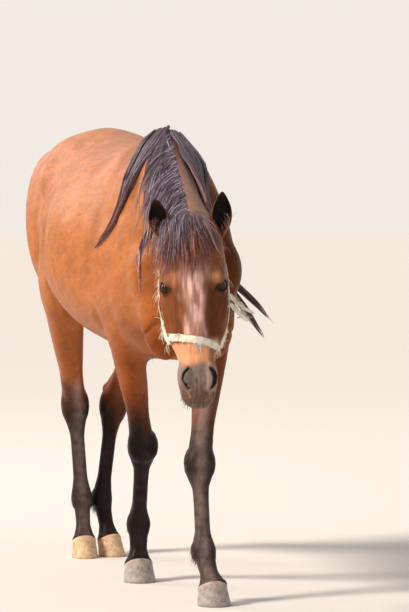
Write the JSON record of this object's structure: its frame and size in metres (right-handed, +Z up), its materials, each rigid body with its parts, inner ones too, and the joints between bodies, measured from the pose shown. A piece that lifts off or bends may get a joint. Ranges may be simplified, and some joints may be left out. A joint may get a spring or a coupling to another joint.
{
  "type": "horse",
  "caption": "Life-size bay horse standing still in a walking pose, head lowered and turned to its right, tail swung to its left, in a frayed tape halter.",
  "frame": {"origin": "on the ground, under the middle of the whole horse's bounding box", "axes": "+Z is up, the horse faces -Y and its left side is +X"},
  "size_m": [0.9348, 2.1362, 1.5042],
  "materials": {
    "bay_coat": "short glossy hair",
    "dark_coat": "short glossy hair, darker",
    "black_points": "short glossy hair, near black",
    "long_hair": "long coarse hair",
    "eye": "wet and glossy",
    "hoof_horn": "dusty horn, faintly streaked",
    "halter_tape": "matt woven tape, frayed"
  },
  "bodies": {
    "root": {"ear_left": "dark_coat", "ear_right": "dark_coat", "eye_left": "eye", "eye_right": "eye", "foreleg_left_cannon": "black_points", "foreleg_left_forearm": "bay_coat", "foreleg_left_pastern": "black_points", "foreleg_right_cannon": "black_points", "foreleg_right_forearm": "bay_coat", "foreleg_right_pastern": "black_points", "forelock": "long_hair", "halter_cheek_left": "halter_tape", "halter_cheek_right": "halter_tape", "halter_crown": "halter_tape", "halter_end_lower": "halter_tape", "halter_end_upper": "halter_tape", "halter_noseband": "halter_tape", "head": "dark_coat", "hindleg_left_cannon": "black_points", "hindleg_left_gaskin": "bay_coat", "hindleg_left_pastern": "black_points", "hindleg_right_cannon": "black_points", "hindleg_right_gaskin": "bay_coat", "hindleg_right_pastern": "black_points", "hoof_fore_left": "hoof_horn", "hoof_fore_right": "hoof_horn", "hoof_hind_left": "hoof_horn", "hoof_hind_right": "hoof_horn", "mane": "long_hair", "mane_left_lock": "long_hair", "mane_right_lock": "long_hair", "mane_shoulder_lock": "long_hair", "neck": "bay_coat", "tail_dock": "long_hair", "tail_end": "long_hair", "tail_lock_lower": "long_hair", "tail_lock_upper": "long_hair", "tail_middle": "long_hair", "trunk": "bay_coat"}
  },
  "joints": []
}
